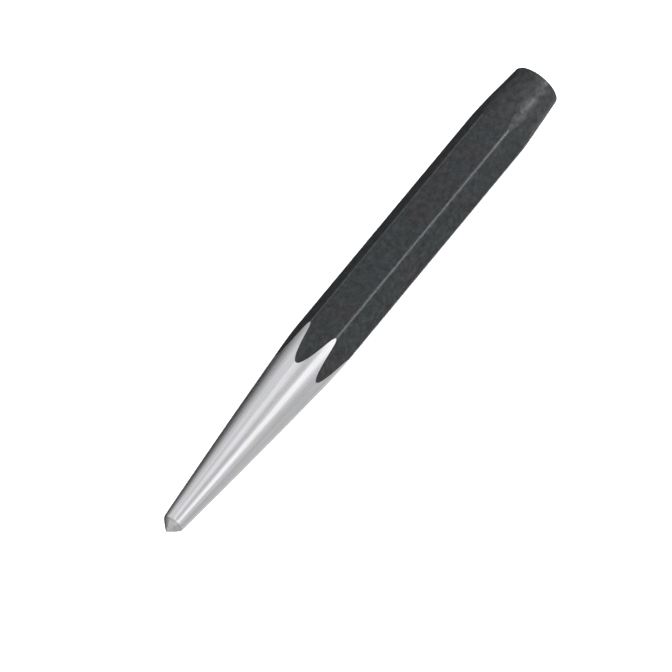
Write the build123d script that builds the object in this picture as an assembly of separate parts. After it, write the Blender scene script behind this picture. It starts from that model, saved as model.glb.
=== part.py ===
"""Hexagonal steel center punch, lying on one of its flats along the X axis, point toward -X.

The punch is one bar of tool steel.  It is divided into its four finished zones: the ground
90 degree point, the long ground taper, the black hexagonal shank and the black turned head.
Units are millimetres, +Z is up.
"""

import os
from math import asin, cos, hypot, pi, sin, sqrt, tan

from build123d import *

os.makedirs("parts", exist_ok=True)

# Bar stock
overall_length = 110.0
across_flats = 10.0
corner_rounding = 1.3

# Point, measured from the apex
point_diameter = 4.0
point_angle = 90.0

# Ground taper, axial distances from the apex
taper_meets_flats = 38.0
taper_meets_corners = 46.0
taper_run_out = 47.5

# Turned head, axial distances back from the rim of its crowned face, the zone's from its crest
head_face_diameter = 9.0
head_meets_flats = 6.0
head_meets_corners = 12.8
head_run_out = 18.0
head_zone_length = 14.0
crown_height = 0.3
face_edge_rounding = 0.45

# Derived bar dimensions
half_flats = across_flats / 2
sector_angle = 60.0
half_sector = pi / 6
corner_center_distance = (half_flats - corner_rounding) / cos(half_sector)
corner_radius = corner_center_distance + corner_rounding
flat_half_width = corner_center_distance * sin(half_sector)
clear_radius = across_flats * 0.65
head_start = overall_length - head_zone_length

# Derived point dimensions
point_radius = point_diameter / 2
point_length = point_radius / tan(point_angle * pi / 360)


def bow_terms(start, middle, end):
    """Slope and curvature of the parabola radius(x) through three (x, radius) points."""
    run_1 = middle[0] - start[0]
    run_2 = end[0] - start[0]
    slope_1 = (middle[1] - start[1]) / run_1
    slope_2 = (end[1] - start[1]) / run_2
    bend = (slope_1 - slope_2) / (run_2 - run_1)
    slope = slope_1 + bend * run_1
    return slope, bend


taper_slope, taper_bend = bow_terms(
    (point_length, point_radius),
    (taper_meets_flats, half_flats),
    (taper_meets_corners, corner_radius),
)
head_slope, head_bend = bow_terms(
    (0.0, head_face_diameter / 2),
    (head_meets_flats, half_flats),
    (head_meets_corners, corner_radius),
)


def bowed_edge(start, slope, bend, run, direction):
    """Parabolic profile edge leaving start along +X or -X."""
    middle = start + Vector(direction * run / 2, slope * run / 2)
    end = start + Vector(direction * run, slope * run - bend * run ** 2)
    return Bezier(start, middle, end)


def taper_position(radius):
    """Distance from the apex at which the ground taper has grown to the given radius."""
    growth = radius - point_radius
    root = sqrt(taper_slope ** 2 - 4 * taper_bend * growth)
    return point_length + (taper_slope - root) / (2 * taper_bend)


def hexagonal_bar():
    """Hexagonal bar with rounded corners, axis on X, with flats facing straight up and down."""
    outline = RegularPolygon(half_flats, 6, major_radius=False)
    outline = fillet(outline.vertices(), corner_rounding)
    return extrude(Plane.YZ * outline, overall_length)


def turned_solid(edges):
    """Solid of revolution about the bar's axis from a closed run of profile edges."""
    return revolve(make_face(edges), Axis.X)


def point_cone():
    """The ground point: a plain cone with its apex at the origin."""
    slope_edge = Line((0, 0), (point_length, point_radius))
    base_edge = Line(slope_edge @ 1, (point_length, 0))
    axis_edge = Line(base_edge @ 1, slope_edge @ 0)
    return turned_solid([slope_edge, base_edge, axis_edge])


def taper_body():
    """The slightly bowed ground taper, run on until it is clear of the bar's corners."""
    start = Vector(point_length, point_radius)
    taper_edge = bowed_edge(start, taper_slope, taper_bend, taper_run_out - point_length, 1)
    end_edge = Line(taper_edge @ 1, (taper_run_out, 0))
    axis_edge = Line(end_edge @ 1, (point_length, 0))
    start_edge = Line(axis_edge @ 1, start)
    return turned_solid([taper_edge, end_edge, axis_edge, start_edge])


def head_body():
    """The turned head: a slightly bowed taper back to the corners, closed by a low spherical crown."""
    rim = Vector(overall_length - crown_height, head_face_diameter / 2)
    head_edge = bowed_edge(rim, head_slope, head_bend, head_run_out, -1)
    crown_radius = (rim.Y ** 2 + crown_height ** 2) / (2 * crown_height)
    crown = CenterArc(
        (overall_length - crown_radius, 0),
        crown_radius,
        0,
        asin(rim.Y / crown_radius) * 180 / pi,
    )
    inner_edge = Line(head_edge @ 1, ((head_edge @ 1).X, 0))
    axis_edge = Line(inner_edge @ 1, crown @ 0)
    profile = make_face([head_edge, crown, axis_edge, inner_edge])
    rim_vertex = profile.vertices().sort_by_distance(rim)[0]
    return revolve(fillet(rim_vertex, face_edge_rounding), Axis.X)


def scallop_border():
    """Border of one black tongue as (distance from apex, offset from the flat's middle line).

    The first list crosses half the flat.  The second follows the rounded corner up to its crest.
    """
    flat_steps = 12
    rounding_steps = 6
    across_flat = []
    for step in range(flat_steps + 1):
        offset = flat_half_width * step / flat_steps
        across_flat.append((taper_position(hypot(half_flats, offset)), offset))
    around_corner = []
    for step in range(rounding_steps + 1):
        turn = half_sector * step / rounding_steps
        height = corner_center_distance * cos(half_sector) + corner_rounding * cos(turn)
        offset = flat_half_width + corner_rounding * sin(turn)
        around_corner.append((taper_position(hypot(height, offset)), offset))
    return across_flat, around_corner


def mirrored(points):
    """The same border points on the other side of the flat's middle line, in reverse order."""
    return [(distance, -offset) for distance, offset in reversed(points)]


def shank_sector():
    """One sixth of the shank's volume: the tongue border carried straight through to the axis."""
    across_flat, around_corner = scallop_border()
    half_width = clear_radius * tan(half_sector)
    flat_border = Spline(mirrored(across_flat)[:-1] + across_flat)
    far_border = Spline(around_corner)
    near_border = Spline(mirrored(around_corner))
    surround = Polyline(
        far_border @ 1,
        (taper_meets_corners, half_width),
        (head_start, half_width),
        (head_start, -half_width),
        (taper_meets_corners, -half_width),
        near_border @ 0,
    )
    block = extrude(make_face([near_border, flat_border, far_border, surround]), clear_radius)
    wedge_outline = Polyline((0, 0), (half_width, clear_radius), (-half_width, clear_radius), close=True)
    wedge = extrude(Plane.YZ * make_face(wedge_outline), overall_length)
    return block & wedge


def shank_volume():
    """All six sectors joined around the axis."""
    sector = shank_sector()
    volume = sector
    for turn in range(1, 6):
        volume = volume + Rot(X=turn * sector_angle) * sector
    return volume


def export_zone(shape, name):
    """Lay the zone in the part frame, resting on a flat and centred along X, and write it."""
    placed = Pos(-overall_length / 2, 0, half_flats) * shape
    placed.label = name
    export_step(placed, os.path.join("parts", name + ".step"))


bar = hexagonal_bar()
shank_core = shank_volume()
head_middle = (head_start + overall_length) / 2
head_slab = Pos(head_middle, 0, 0) * Box(head_zone_length, 2 * clear_radius, 2 * clear_radius)

export_zone(point_cone(), "punch_point")
export_zone(taper_body() - shank_core, "ground_taper")
export_zone(bar & shank_core, "hex_shank")
export_zone(bar & head_slab & head_body(), "struck_head")
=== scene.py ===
import math

import bpy
import numpy as np
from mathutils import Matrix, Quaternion, Vector, noise


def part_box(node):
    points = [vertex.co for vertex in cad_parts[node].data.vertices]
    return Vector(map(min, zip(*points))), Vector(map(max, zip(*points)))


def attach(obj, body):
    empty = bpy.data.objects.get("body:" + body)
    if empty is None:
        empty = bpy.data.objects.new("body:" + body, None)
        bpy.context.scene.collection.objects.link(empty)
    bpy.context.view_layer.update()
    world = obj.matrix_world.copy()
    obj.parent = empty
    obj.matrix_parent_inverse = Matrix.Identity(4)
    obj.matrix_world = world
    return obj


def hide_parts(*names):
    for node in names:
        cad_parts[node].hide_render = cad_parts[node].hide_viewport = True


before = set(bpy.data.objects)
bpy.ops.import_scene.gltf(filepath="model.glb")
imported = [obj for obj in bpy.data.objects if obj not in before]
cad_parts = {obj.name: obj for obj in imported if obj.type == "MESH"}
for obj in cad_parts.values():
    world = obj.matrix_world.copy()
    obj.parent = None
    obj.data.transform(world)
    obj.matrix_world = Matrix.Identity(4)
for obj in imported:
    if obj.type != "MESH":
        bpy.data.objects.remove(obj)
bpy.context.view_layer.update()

MM = 0.001
RANDOM = np.random.default_rng(12)

# ---------------------------------------------------------------- sizes, from the frame, in metres

POINT_LOW, POINT_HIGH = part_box("punch_point")
TAPER_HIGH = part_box("ground_taper")[1]
SHANK_LOW, SHANK_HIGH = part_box("hex_shank")
HEAD_LOW, HEAD_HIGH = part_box("struck_head")

APEX_X = POINT_LOW.x
TAPER_X = POINT_HIGH.x
FLATS_X = SHANK_LOW.x
CORNERS_X = TAPER_HIGH.x
HEAD_X = HEAD_LOW.x
END_X = HEAD_HIGH.x

AXIS_Z = (SHANK_LOW.z + SHANK_HIGH.z) / 2
HALF_FLATS = (SHANK_HIGH.z - SHANK_LOW.z) / 2
CORNER_RADIUS = (SHANK_HIGH.y - SHANK_LOW.y) / 2
POINT_RADIUS = (POINT_HIGH.y - POINT_LOW.y) / 2

HALF_SECTOR = math.pi / 6
SECANT = 1 / math.cos(HALF_SECTOR)
ROUNDING = (HALF_FLATS * SECANT - CORNER_RADIUS) / (SECANT - 1)
ROUNDING_CENTER = CORNER_RADIUS - ROUNDING
FLAT_HALF_WIDTH = ROUNDING_CENTER * math.sin(HALF_SECTOR)

# Turned head, as in the CAD: distances back from the rim of its crowned face
FACE_RADIUS = 4.5 * MM
HEAD_MEETS_FLATS = 6.0 * MM
HEAD_MEETS_CORNERS = 12.8 * MM
CROWN_HEIGHT = 0.3 * MM
RIM_ROUNDING = 0.45 * MM
RIM_X = END_X - CROWN_HEIGHT

# Mesh density
FLAT_STEPS = 60
ROUNDING_STEPS = 24
TAPER_ROWS = 150
SHANK_ROWS = 260
HEAD_FLAT_ROWS = 24
HEAD_TURNED_ROWS = 60
RIM_ROWS = 12
CROWN_ROWS = 30
POINT_ROWS = 24


def bow_terms(start, middle, end):
    """Slope and bend of the parabola through three (distance, radius) points."""
    slope_1 = (middle[1] - start[1]) / (middle[0] - start[0])
    slope_2 = (end[1] - start[1]) / (end[0] - start[0])
    bend = (slope_1 - slope_2) / (end[0] - middle[0])
    return slope_1 + bend * (middle[0] - start[0]), bend


TAPER_SLOPE, TAPER_BEND = bow_terms(
    (TAPER_X, POINT_RADIUS), (FLATS_X, HALF_FLATS), (CORNERS_X, CORNER_RADIUS)
)
HEAD_SLOPE, HEAD_BEND = bow_terms(
    (0.0, FACE_RADIUS), (HEAD_MEETS_FLATS, HALF_FLATS), (HEAD_MEETS_CORNERS, CORNER_RADIUS)
)


def reach(radius, start_radius, slope, bend):
    """Distance at which a bowed taper has grown from its start radius to the given radius."""
    return (slope - np.sqrt(slope ** 2 - 4 * bend * (radius - start_radius))) / (2 * bend)


# ---------------------------------------------------------------- the bar's outline, one column per angle


def sector_columns():
    """(angle from the flat's middle, radius, distance to the nearest corner's crest) over one sector."""
    columns = []
    for step in range(FLAT_STEPS):
        across = FLAT_HALF_WIDTH * (2 * step / FLAT_STEPS - 1)
        crest = FLAT_HALF_WIDTH + ROUNDING * HALF_SECTOR - abs(across)
        columns.append((math.atan2(across, HALF_FLATS), math.hypot(across, HALF_FLATS), crest))
    for step in range(ROUNDING_STEPS):
        turn = 2 * HALF_SECTOR * step / ROUNDING_STEPS
        height = ROUNDING_CENTER * math.cos(HALF_SECTOR) + ROUNDING * math.cos(turn)
        across = FLAT_HALF_WIDTH + ROUNDING * math.sin(turn)
        crest = ROUNDING * abs(turn - HALF_SECTOR)
        columns.append((math.atan2(across, height), math.hypot(across, height), crest))
    return columns


SECTOR = np.array(sector_columns())
ANGLE = np.concatenate([SECTOR[:, 0] + 2 * HALF_SECTOR * turn for turn in range(6)])
BAR_RADIUS = np.tile(SECTOR[:, 1], 6)
CREST = np.tile(SECTOR[:, 2], 6)
COLUMNS = len(ANGLE)

SCALLOP_X = TAPER_X + reach(BAR_RADIUS, POINT_RADIUS, TAPER_SLOPE, TAPER_BEND)
TURNED_X = RIM_X - reach(BAR_RADIUS, FACE_RADIUS, HEAD_SLOPE, HEAD_BEND)


def smooth(value):
    """Smooth step from 0 to 1."""
    value = np.clip(value, 0, 1)
    return value * value * (3 - 2 * value)


def fade_at_ends(share, start, end):
    """0 at both borders of a piece and 1 between them; start and end are the shares it takes to get there."""
    return smooth(share / start) * smooth((1 - share) / end)


def noise_over(x, angle, along, around, seed):
    """Perlin noise on the bar's surface: `along` cells per mm of length, `around` cells per radian."""
    values = np.empty(x.shape)
    flat_x, flat_angle, flat_values = x.ravel(), angle.ravel(), values.ravel()
    for index in range(flat_x.size):
        turn = flat_angle[index]
        place = (flat_x[index] / MM * along + seed, math.cos(turn) * around, math.sin(turn) * around)
        flat_values[index] = noise.noise(place)
    return flat_values.reshape(x.shape)


# ---------------------------------------------------------------- relief, always inward

# Noise scales (cells per mm along the bar, cells per radian round it) and depths in mm
BROAD_FACETS = (0.012, 2.6)
FINE_FACETS = (0.03, 9.0)
BROAD_DEPTH = 0.016
FINE_DEPTH = 0.005
SHOULDER_CHIPS = 2.2
SHOULDER_LEAST = 0.03
SHOULDER_MORE = 0.15
SHOULDER_WIDTH = 0.30
SCALE_GRAIN = (0.55, 3.4)
SCALE_DEPTH = 0.004
NICKS_PER_CORNER = 15
PIT_COUNT = 90


def between_0_and_1(value):
    """Noise from -1 to 1, moved to 0 to 1."""
    return value * 0.5 + 0.5


def grinding_relief(x):
    """Faint lengthwise facets left by grinding the taper, with none right at its borders."""
    share = (x - TAPER_X) / (SCALLOP_X[None, :] - TAPER_X)
    fade = fade_at_ends(share, 0.02, 0.03)
    angle = np.broadcast_to(ANGLE, x.shape)
    broad = between_0_and_1(noise_over(x, angle, *BROAD_FACETS, seed=3.0))
    fine = between_0_and_1(noise_over(x, angle, *FINE_FACETS, seed=17.0))
    return fade * MM * (BROAD_DEPTH * broad + FINE_DEPTH * fine)


def shoulder_wear(distance):
    """Uneven rounding of the shoulder between taper and point, by distance from it."""
    angle = np.broadcast_to(ANGLE, distance.shape)
    chips = between_0_and_1(noise_over(np.zeros(distance.shape), angle, 0.0, SHOULDER_CHIPS, seed=71.0))
    return MM * (SHOULDER_LEAST + SHOULDER_MORE * chips) * np.exp(-(distance / (SHOULDER_WIDTH * MM)) ** 2)


def corner_dents(x):
    """Small nicks along the six corners."""
    depth = np.zeros(x.shape)
    for corner in range(6):
        corner_angle = HALF_SECTOR + 2 * HALF_SECTOR * corner
        offset = (ANGLE - corner_angle + math.pi) % (2 * math.pi) - math.pi
        across = offset * CORNER_RADIUS
        for _ in range(NICKS_PER_CORNER):
            center = RANDOM.uniform(CORNERS_X + 1 * MM, HEAD_X - 1 * MM)
            length = RANDOM.uniform(0.12, 0.5) * MM
            width = RANDOM.uniform(0.15, 0.35) * MM
            side = RANDOM.uniform(-0.2, 0.2) * MM
            deep = RANDOM.uniform(0.008, 0.035) * MM
            bump = np.exp(-((x - center) / length) ** 2 - ((across[None, :] - side) / width) ** 2)
            depth = np.maximum(depth, deep * bump)
    return depth


def flat_pits(x):
    """A scatter of shallow pits and handling marks on the flats."""
    depth = np.zeros(x.shape)
    for _ in range(PIT_COUNT):
        center = RANDOM.uniform(FLATS_X + 2 * MM, HEAD_X - 1 * MM)
        middle = RANDOM.uniform(0, 2 * math.pi)
        size = RANDOM.uniform(0.12, 0.4) * MM
        deep = RANDOM.uniform(0.004, 0.014) * MM
        across = ((ANGLE - middle + math.pi) % (2 * math.pi) - math.pi) * HALF_FLATS
        depth = np.maximum(depth, deep * np.exp(-((x - center) / size) ** 2 - (across[None, :] / size) ** 2))
    return depth


def scale_relief(x):
    """The slightly uneven skin of the black finish."""
    angle = np.broadcast_to(ANGLE, x.shape)
    return MM * SCALE_DEPTH * between_0_and_1(noise_over(x, angle, *SCALE_GRAIN, seed=41.0))


# ---------------------------------------------------------------- meshes

APEX_FLAT_RADIUS = 0.12 * MM
CONE_FACETS = 1.7
CONE_FACET_DEPTH = 0.06
SHARP_EDGE = math.radians(24)
NO_CREST_MM = 9.0
CREST_FADE = 0.5
HALVINGS = 60


def lathe_mesh(name, x, radius, crest, start_center, end_center):
    """Closed mesh from rows of rings and two end fans; crest is the distance to the nearest corner."""
    rows = x.shape[0]
    angle = np.broadcast_to(ANGLE, x.shape)
    points = np.stack([x, radius * np.sin(angle), AXIS_Z + radius * np.cos(angle)], axis=-1)
    vertices = [tuple(point) for point in points.reshape(-1, 3)]
    start = len(vertices)
    vertices.append((start_center, 0.0, AXIS_Z))
    end = len(vertices)
    vertices.append((end_center, 0.0, AXIS_Z))
    faces = []
    for column in range(COLUMNS):
        after = (column + 1) % COLUMNS
        faces.append((start, column, after))
        last = (rows - 1) * COLUMNS
        faces.append((end, last + after, last + column))
        for row in range(rows - 1):
            base = row * COLUMNS
            faces.append((base + column, base + COLUMNS + column, base + COLUMNS + after, base + after))
    mesh = bpy.data.meshes.new(name)
    mesh.from_pydata(vertices, [], faces)
    mesh.validate()
    crest = np.append(np.broadcast_to(crest / MM, x.shape), [NO_CREST_MM, NO_CREST_MM])
    layer = mesh.attributes.new("crest_mm", "FLOAT", "POINT")
    layer.data.foreach_set("value", crest.astype(np.float32))
    turned = np.stack([x / MM, np.cos(angle), np.sin(angle)], axis=-1).reshape(-1, 3)
    ends = [[start_center / MM, 0, 0], [end_center / MM, 0, 0]]
    layer = mesh.attributes.new("turned", "FLOAT_VECTOR", "POINT")
    layer.data.foreach_set("vector", np.concatenate([turned, ends]).astype(np.float32).ravel())
    mesh.shade_smooth()
    mesh.set_sharp_from_angle(angle=SHARP_EDGE)
    piece = bpy.data.objects.new(name, mesh)
    bpy.context.scene.collection.objects.link(piece)
    return piece


def rows_between(start, end, count):
    """Rows of x positions from one border curve to another."""
    share = np.linspace(0, 1, count + 1)[:, None]
    return start + share * (end - start)


def point_piece():
    """The ground cone of the point, with its apex very slightly blunted."""
    # Rows are closest together at the shoulder.
    share = np.linspace(0, 1, POINT_ROWS + 1)[:, None] ** 0.6
    radius = APEX_FLAT_RADIUS + share * (POINT_RADIUS - APEX_FLAT_RADIUS) * np.ones(COLUMNS)
    x = APEX_X + radius / POINT_RADIUS * (TAPER_X - APEX_X)
    angle = np.broadcast_to(ANGLE, x.shape)
    facets = np.abs(noise_over(np.zeros(x.shape), angle, 0.0, CONE_FACETS, seed=11.0))
    radius = radius * (1 - CONE_FACET_DEPTH * facets) - shoulder_wear(TAPER_X - x)
    return lathe_mesh("point", x, radius, CREST, APEX_X + APEX_FLAT_RADIUS / 2, TAPER_X)


def taper_piece():
    """The ground taper, up to the scalloped border with the black flats."""
    # Rows are closest together at the worn shoulder.
    share = np.linspace(0, 1, TAPER_ROWS + 1)[:, None]
    share = share * (0.15 + 0.85 * share ** 0.6)
    x = TAPER_X + share * (SCALLOP_X - TAPER_X)
    run = x - TAPER_X
    radius = POINT_RADIUS + TAPER_SLOPE * run - TAPER_BEND * run ** 2
    radius = radius - grinding_relief(x) - shoulder_wear(run)
    return lathe_mesh("taper", x, radius, CREST, TAPER_X, FLATS_X)


def shank_piece():
    """The black hexagonal bar with its six tongues."""
    x = rows_between(SCALLOP_X, HEAD_X, SHANK_ROWS)
    share = (x - SCALLOP_X) / (HEAD_X - SCALLOP_X)
    fade = fade_at_ends(share, 0.01, 0.01)
    relief = np.maximum(corner_dents(x), flat_pits(x)) + scale_relief(x)
    radius = BAR_RADIUS - fade * relief
    return lathe_mesh("shank", x, radius, CREST, FLATS_X, HEAD_X)


def rim_profile():
    """Rounded rim and crown as (x, radius) rows from the end of the head taper to the axis."""
    crown_radius = (FACE_RADIUS ** 2 + CROWN_HEIGHT ** 2) / (2 * CROWN_HEIGHT)
    crown_center = END_X - crown_radius
    # The rim circle touches both the taper, taken as straight, and the crown: its center is found by halving.
    taper_angle = math.atan(HEAD_SLOPE)
    inner = crown_radius - RIM_ROUNDING
    low, high = 0.0, FACE_RADIUS
    for _ in range(HALVINGS):
        middle = (low + high) / 2
        x = crown_center + math.sqrt(inner ** 2 - middle ** 2)
        gap = FACE_RADIUS + HEAD_SLOPE * (RIM_X - x) - RIM_ROUNDING / math.cos(taper_angle) - middle
        low, high = (middle, high) if gap > 0 else (low, middle)
    center_radius, center_x = middle, crown_center + math.sqrt(inner ** 2 - middle ** 2)
    crown_angle = math.asin(center_radius / inner)
    first_turn = math.pi / 2 - taper_angle
    rows = []
    for step in range(RIM_ROWS + 1):
        turn = first_turn + (crown_angle - first_turn) * step / RIM_ROWS
        rows.append((center_x + RIM_ROUNDING * math.cos(turn), center_radius + RIM_ROUNDING * math.sin(turn)))
    for step in range(1, CROWN_ROWS):
        turn = crown_angle * (1 - step / CROWN_ROWS)
        rows.append((crown_center + crown_radius * math.cos(turn), crown_radius * math.sin(turn)))
    return np.array(rows)


def head_piece():
    """The end of the bar, its turned taper, rounded rim and crown."""
    bar_x = rows_between(HEAD_X, TURNED_X, HEAD_FLAT_ROWS)
    bar_radius = np.broadcast_to(BAR_RADIUS, bar_x.shape)
    rim = rim_profile()
    turned_x = rows_between(TURNED_X, rim[0, 0], HEAD_TURNED_ROWS)[1:]
    run = RIM_X - turned_x
    turned_radius = FACE_RADIUS + HEAD_SLOPE * run - HEAD_BEND * run ** 2
    rim_x = np.repeat(rim[1:, :1], COLUMNS, axis=1)
    rim_radius = np.repeat(rim[1:, 1:], COLUMNS, axis=1)
    x = np.concatenate([bar_x, turned_x, rim_x])
    radius = np.concatenate([bar_radius, turned_radius, rim_radius])
    # The rubbed line fades out where the turning has cut the corner away.
    crest = CREST + np.maximum(0, x - TURNED_X) * CREST_FADE
    return lathe_mesh("head", x, radius, crest, HEAD_X, END_X)


# ---------------------------------------------------------------- material helpers


class Nodes:
    """A material's node tree with short ways to add and join nodes."""

    def __init__(self, name):
        self.material = bpy.data.materials.new(name)
        self.material.use_nodes = True
        self.tree = self.material.node_tree
        self.shader = self.tree.nodes["Principled BSDF"]

    def add(self, kind, **settings):
        node = self.tree.nodes.new(kind)
        for key, value in settings.items():
            setattr(node, key, value)
        return node

    def join(self, source, target):
        self.tree.links.new(source, target)

    def object_mm(self):
        """Object coordinates in millimetres."""
        place = self.add("ShaderNodeTexCoord")
        scale = self.add("ShaderNodeVectorMath", operation="SCALE")
        scale.inputs["Scale"].default_value = 1 / MM
        self.join(place.outputs["Object"], scale.inputs[0])
        return scale.outputs[0]

    def turned(self, along, around):
        """Coordinates that follow the bar: cells per mm of length and per radian round the axis."""
        place = self.add("ShaderNodeAttribute", attribute_name="turned")
        scale = self.add("ShaderNodeVectorMath", operation="MULTIPLY")
        scale.inputs[1].default_value = (along, around, around)
        self.join(place.outputs["Vector"], scale.inputs[0])
        return scale.outputs[0]

    def noise(self, vector, scale=1.0, detail=3.0, roughness=0.55):
        node = self.add("ShaderNodeTexNoise")
        node.inputs["Scale"].default_value = scale
        node.inputs["Detail"].default_value = detail
        node.inputs["Roughness"].default_value = roughness
        self.join(vector, node.inputs["Vector"])
        return node.outputs["Fac"]

    def fit(self, value, low, high, to_low=0.0, to_high=1.0):
        """Maps a stretch of a value smoothly onto another stretch."""
        node = self.add("ShaderNodeMapRange", interpolation_type="SMOOTHSTEP")
        for key, number in (("From Min", low), ("From Max", high), ("To Min", to_low), ("To Max", to_high)):
            node.inputs[key].default_value = number
        self.join(value, node.inputs["Value"])
        return node.outputs["Result"]

    def math(self, operation, first, second):
        node = self.add("ShaderNodeMath", operation=operation)
        for socket, value in zip(node.inputs, (first, second)):
            if isinstance(value, (int, float)):
                socket.default_value = value
            else:
                self.join(value, socket)
        return node.outputs[0]

    def blend(self, factor, first, second):
        """Mix of two colours; each is a socket or a linear RGB triple."""
        node = self.add("ShaderNodeMix", data_type="RGBA")
        for socket, value in ((node.inputs[6], first), (node.inputs[7], second)):
            if isinstance(value, tuple):
                socket.default_value = (*value, 1.0)
            else:
                self.join(value, socket)
        self.join(factor, node.inputs[0])
        return node.outputs[2]

    def bump(self, height, distance_mm, strength=1.0, under=None):
        node = self.add("ShaderNodeBump")
        node.inputs["Strength"].default_value = strength
        node.inputs["Distance"].default_value = distance_mm * MM
        self.join(height, node.inputs["Height"])
        if under is not None:
            self.join(under, node.inputs["Normal"])
        return node.outputs["Normal"]


# ---------------------------------------------------------------- materials


# Linear colours of the black finish
COOL_DARK, COOL_LIGHT = (0.0085, 0.0135, 0.0145), (0.0120, 0.0165, 0.0190)
WARM_DARK, WARM_LIGHT = (0.0115, 0.0100, 0.0150), (0.0145, 0.0138, 0.0148)
GRAIN_TONE = (0.0300, 0.0320, 0.0340)
DEEP_TONE = (0.0010, 0.0010, 0.0010)
WORN_TONE = (0.106, 0.116, 0.124)

# Noise patterns of the black finish: cells per mm, detail and, where it isn't the usual, roughness
MOTTLE = (0.9, 5.0, 0.75)
BLOTCHES = (0.30, 2.0)
TINTS = (0.17, 1.0)
GRAIN = (2.2, 5.0, 0.8)
RAGGED_EDGE = (4.0, 4.0, 0.65)
WEAR_PATCHES = (1.3, 4.0, 0.7)
SHEEN = (1.6, 3.0)

# The corners are rubbed least round this place. On the +Y side, away from the lights, the grey rubbed line is
# cut down as painted shade, not as wear
GRIP_X_MM = 15.0
GRIP_NEAR_MM, GRIP_FAR_MM = 6.0, 30.0
GRIP_WEAR, FAR_WEAR = 0.86, 1.15
SIDE_FROM_MM, SIDE_TO_MM = -2.0, 2.0
SHADED_SIDE_WEAR = 0.40

# The turned look comes in over this length, from the start of the head zone
TURNED_FADE_MM = 6.0
TURNED_WEAR = 0.12
TURNED_DEPTH = 0.55
TURNING_RINGS = (9.0, 0.6)

BLACK_SPECULAR = 0.44
RUBBED_POLISH = 0.20
GRAIN_BUMP_MM = 0.014
TURNING_BUMP_MM = 0.004


def black_finish(name, turned):
    """Satin black oxide: faintly mottled, finely grained, rubbed to a thin grey line along the crests; the
    line is cut down on the +Y side, away from the lights, as painted shade.
    """
    nodes = Nodes(name)
    shader = nodes.shader
    mm = nodes.object_mm()
    depth = nodes.fit(nodes.noise(mm, *MOTTLE), 0.32, 0.68, 0.12, 0.70)
    blotch = nodes.fit(nodes.noise(mm, *BLOTCHES), 0.35, 0.65)
    tint = nodes.fit(nodes.noise(mm, *TINTS), 0.40, 0.60)
    grain = nodes.noise(mm, *GRAIN)
    cool = nodes.blend(blotch, COOL_DARK, COOL_LIGHT)
    warm = nodes.blend(blotch, WARM_DARK, WARM_LIGHT)
    grey = nodes.blend(nodes.fit(grain, 0.44, 0.66, 0.0, 0.8), nodes.blend(tint, cool, warm), GRAIN_TONE)
    crest = nodes.add("ShaderNodeAttribute", attribute_name="crest_mm").outputs["Fac"]
    ragged = nodes.math("ADD", crest, nodes.fit(nodes.noise(mm, *RAGGED_EDGE), 0.2, 0.8, -0.14, 0.14))
    rubbed = nodes.fit(ragged, 0.12, 0.50, 1.0, 0.0)
    patchy = nodes.fit(nodes.noise(mm, *WEAR_PATCHES), 0.36, 0.62, 0.35, 1.0)
    place = nodes.add("ShaderNodeSeparateXYZ")
    nodes.join(mm, place.inputs[0])
    from_grip = nodes.math("ABSOLUTE", nodes.math("SUBTRACT", place.outputs["X"], GRIP_X_MM), 0.0)
    lengthwise = nodes.fit(from_grip, GRIP_NEAR_MM, GRIP_FAR_MM, GRIP_WEAR, FAR_WEAR)
    exposure_and_shade = nodes.math("MULTIPLY", patchy, lengthwise)
    # Painted shade: the rubbed grey line is weakened on the +Y side, away from the lights
    shaded_side = nodes.fit(place.outputs["Y"], SIDE_FROM_MM, SIDE_TO_MM, 1.0, SHADED_SIDE_WEAR)
    exposure_and_shade = nodes.math("MULTIPLY", exposure_and_shade, shaded_side)
    wear_and_shade = nodes.math("MULTIPLY", nodes.fit(ragged, 0.05, 0.26, 1.0, 0.0), exposure_and_shade)
    if turned:
        fade = nodes.fit(place.outputs["X"], HEAD_X / MM, HEAD_X / MM + TURNED_FADE_MM)
        soft = nodes.fit(nodes.noise(mm, *MOTTLE), 0.34, 0.68, 0.1, 0.9)
        mottled = nodes.math("MULTIPLY", soft, fade)
        rubbed = nodes.math("MAXIMUM", rubbed, mottled)
        wear_and_shade = nodes.math("ADD", wear_and_shade, nodes.math("MULTIPLY", mottled, TURNED_WEAR))
        depth = nodes.math("MULTIPLY", depth, nodes.fit(fade, 0.0, 1.0, 1.0, TURNED_DEPTH))
    black = nodes.blend(depth, DEEP_TONE, grey)
    nodes.join(nodes.blend(wear_and_shade, black, WORN_TONE), shader.inputs["Base Color"])
    nodes.join(wear_and_shade, shader.inputs["Metallic"])
    rough = nodes.fit(nodes.noise(mm, *SHEEN), 0.3, 0.7, 0.50, 0.60)
    polish = nodes.math("MULTIPLY", rubbed, RUBBED_POLISH)
    nodes.join(nodes.math("SUBTRACT", rough, polish), shader.inputs["Roughness"])
    shader.inputs["Specular IOR Level"].default_value = BLACK_SPECULAR
    normal = nodes.bump(grain, GRAIN_BUMP_MM, 0.8)
    if turned:
        rings = nodes.noise(nodes.turned(*TURNING_RINGS), 1.0, 2.0)
        normal = nodes.bump(nodes.math("MULTIPLY", rings, fade), TURNING_BUMP_MM, 0.5, normal)
    nodes.join(normal, shader.inputs["Normal"])
    return nodes.material


# Ground steel: its streaks and clouds as shares of its tone, and its roughness as a share of the mean
DARK_STREAK, LIGHT_STREAK = 0.86, 1.10
BLUISH_CLOUD = (0.98, 0.98, 1.06)
SMOOTHEST, ROUGHEST = 0.8, 1.25
SCRATCH_BUMP_MM = 0.010


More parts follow.
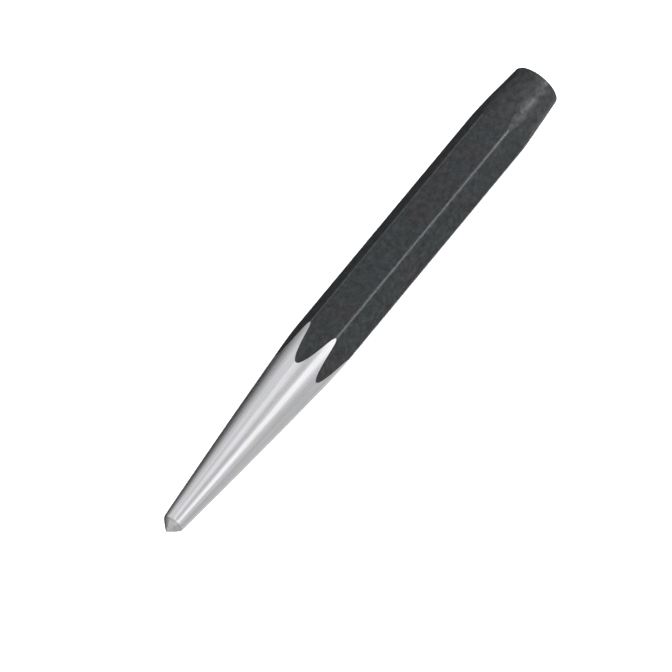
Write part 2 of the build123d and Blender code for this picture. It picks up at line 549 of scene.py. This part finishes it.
def ground_finish(name, tone, along, around, roughness):
    """Bright ground steel; its scratches have cells per mm along the bar and per radian round it."""
    nodes = Nodes(name)
    shader = nodes.shader
    fine = nodes.noise(nodes.turned(along, around), 1.0, 4.0, 0.65)
    bands = nodes.noise(nodes.turned(along * 0.5, around * 0.16), 1.0, 3.0, 0.6)
    mm = nodes.object_mm()
    cloud = nodes.noise(mm, 0.25, 2.0)
    dark = tuple(channel * DARK_STREAK for channel in tone)
    light = tuple(min(1.0, channel * LIGHT_STREAK) for channel in tone)
    streaked = nodes.blend(nodes.fit(bands, 0.32, 0.68), dark, light)
    bluish = tuple(channel * share for channel, share in zip(tone, BLUISH_CLOUD))
    tinted = nodes.blend(nodes.fit(cloud, 0.35, 0.65, 0.0, 0.35), streaked, bluish)
    nodes.join(tinted, shader.inputs["Base Color"])
    shader.inputs["Metallic"].default_value = 1.0
    rough = nodes.fit(fine, 0.25, 0.75, roughness * SMOOTHEST, roughness * ROUGHEST)
    nodes.join(rough, shader.inputs["Roughness"])
    nodes.join(nodes.bump(fine, SCRATCH_BUMP_MM, 0.5), shader.inputs["Normal"])
    return nodes.material


# ---------------------------------------------------------------- pieces


def place(piece, node, slot, material):
    """Puts a finished piece on the bar in place of its CAD node."""
    piece.data.materials.append(material)
    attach(piece, "root")
    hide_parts(node)


POINT_TONE = (0.58, 0.58, 0.58)
TAPER_TONE = (0.745, 0.745, 0.753)
POINT_STEEL = ground_finish("point_steel", POINT_TONE, along=6.0, around=4.0, roughness=0.42)
TAPER_STEEL = ground_finish("taper_steel", TAPER_TONE, along=0.05, around=30.0, roughness=0.26)
place(point_piece(), "punch_point", "ground_point", POINT_STEEL)
place(taper_piece(), "ground_taper", "ground_steel", TAPER_STEEL)
place(shank_piece(), "hex_shank", "black_finish", black_finish("black_bar", turned=False))
place(head_piece(), "struck_head", "black_head", black_finish("black_turned", turned=True))


# ---------------------------------------------------------------- studio


def camera(azimuth, elevation, roll, distance, view_width, aim):
    """Long-lens camera; aim is how far right of and above the bar's middle it points, in metres."""
    data = bpy.data.cameras.new("camera")
    data.sensor_width = 36.0
    data.lens = data.sensor_width * distance / view_width
    data.clip_start = distance / 100
    data.clip_end = distance * 10
    piece = bpy.data.objects.new("camera", data)
    bpy.context.scene.collection.objects.link(piece)
    turn, rise = math.radians(azimuth), math.radians(elevation)
    back = Vector((math.sin(turn) * math.cos(rise), -math.cos(turn) * math.cos(rise), math.sin(rise)))
    upright = (-back).to_track_quat("-Z", "Y")
    rolled = upright @ Quaternion((0, 0, 1), math.radians(roll))
    middle = Vector(((APEX_X + END_X) / 2, 0, AXIS_Z))
    piece.rotation_mode = "QUATERNION"
    piece.rotation_quaternion = rolled
    piece.location = middle + back * distance + rolled @ Vector((aim[0], aim[1], 0))
    bpy.context.scene.camera = piece


def floor(size, tone):
    """Plain pale floor, kept out of the steel's mirror reflections as a photographer's card would."""
    mesh = bpy.data.meshes.new("floor")
    half = size / 2
    corners = [(-half, -half, 0), (half, -half, 0), (half, half, 0), (-half, half, 0)]
    mesh.from_pydata(corners, [], [(0, 1, 2, 3)])
    piece = bpy.data.objects.new("floor", mesh)
    # Just clear of the flat that the punch lies on
    piece.location.z = -0.01 * MM
    bpy.context.scene.collection.objects.link(piece)
    nodes = Nodes("floor_paper")
    nodes.shader.inputs["Base Color"].default_value = (tone, tone, tone, 1.0)
    nodes.shader.inputs["Roughness"].default_value = 0.9
    nodes.shader.inputs["Specular IOR Level"].default_value = 0.0
    mesh.materials.append(nodes.material)
    piece.visible_glossy = False


# Brightness round the punch: angle in degrees from straight up towards -Y, and level
SURROUND = (
    (-180, 0.28), (-168, 0.10), (-140, 0.08), (-115, 0.08), (-98, 0.19),
    (-78, 0.43), (-52, 0.81), (-30, 0.78), (-6, 1.09), (20, 0.58),
    (34, 1.01), (44, 1.50), (56, 0.90), (74, 0.76), (95, 0.56),
    (114, 0.67), (138, 0.62), (158, 0.72), (172, 0.79), (180, 0.41),
)


def surround():
    """Soft studio surroundings: long light and dark strips that run along the punch."""
    world = bpy.data.worlds.new("studio")
    world.use_nodes = True
    nodes, links = world.node_tree.nodes, world.node_tree.links
    direction = nodes.new("ShaderNodeTexCoord")
    split = nodes.new("ShaderNodeSeparateXYZ")
    links.new(direction.outputs["Generated"], split.inputs[0])
    flip = nodes.new("ShaderNodeMath")
    flip.operation = "MULTIPLY"
    flip.inputs[1].default_value = -1
    links.new(split.outputs["Y"], flip.inputs[0])
    angle = nodes.new("ShaderNodeMath")
    angle.operation = "ARCTAN2"
    links.new(flip.outputs[0], angle.inputs[0])
    links.new(split.outputs["Z"], angle.inputs[1])
    share = nodes.new("ShaderNodeMapRange")
    share.inputs["From Min"].default_value = -math.pi
    share.inputs["From Max"].default_value = math.pi
    links.new(angle.outputs[0], share.inputs["Value"])
    curve = nodes.new("ShaderNodeFloatCurve")
    links.new(share.outputs["Result"], curve.inputs["Value"])
    brightest = max(level for _, level in SURROUND)
    points = curve.mapping.curves[0].points
    # A new curve has two points already.
    for index, (degrees, level) in enumerate(SURROUND):
        spot = ((degrees + 180) / 360, level / brightest)
        if index < 2:
            points[index].location = spot
        else:
            points.new(*spot)
    curve.mapping.update()
    shade = nodes["Background"]
    links.new(curve.outputs["Value"], shade.inputs["Color"])
    shade.inputs["Strength"].default_value = brightest
    bpy.context.scene.world = world


def studio_light(name, kind, toward_right, toward_head, distance, target_x, power):
    """Light aimed at a place on the axis, from some degrees off straight up, to the right and to the head.

    Right is towards -Y and the head is towards +X.
    """
    data = bpy.data.lights.new(name, kind)
    data.energy = power
    piece = bpy.data.objects.new(name, data)
    bpy.context.scene.collection.objects.link(piece)
    side, rise = math.radians(toward_right), math.radians(toward_head)
    out = Vector((math.sin(rise), -math.sin(side) * math.cos(rise), math.cos(side) * math.cos(rise)))
    piece.location = Vector((target_x, 0, AXIS_Z)) + out * distance
    piece.rotation_mode = "QUATERNION"
    piece.rotation_quaternion = (-out).to_track_quat("-Z", "Y")
    return piece


def soft_fill(name, toward_right, power, tint):
    """Wide soft light for the paper and the black flats, left out of the steel's mirror reflections."""
    piece = studio_light(name, "AREA", toward_right, toward_head=0, distance=1.5, target_x=0, power=power)
    piece.data.color = tint
    piece.data.shape = "SQUARE"
    piece.data.size = 1.6
    piece.visible_glossy = False


def head_spot(power):
    """Narrow spot that picks out the turned head."""
    middle_x = END_X - 5 * MM
    piece = studio_light(
        "head_spot", "SPOT", toward_right=44, toward_head=36, distance=1.2, target_x=middle_x, power=power
    )
    piece.data.spot_size = math.radians(1.7)
    piece.data.spot_blend = 0.8
    piece.data.shadow_soft_size = 0.004


camera(azimuth=-55.97, elevation=62.43, roll=2.37, distance=3.0, view_width=0.11711, aim=(-0.00298, -0.00518))
floor(size=6.0, tone=0.88)
surround()
soft_fill("top_fill", toward_right=0, power=37.0, tint=(0.96, 1.0, 1.04))
soft_fill("side_fill", toward_right=62, power=48.0, tint=(1.0, 0.97, 0.94))
head_spot(power=13.0)
bpy.context.scene.view_settings.view_transform = "Standard"
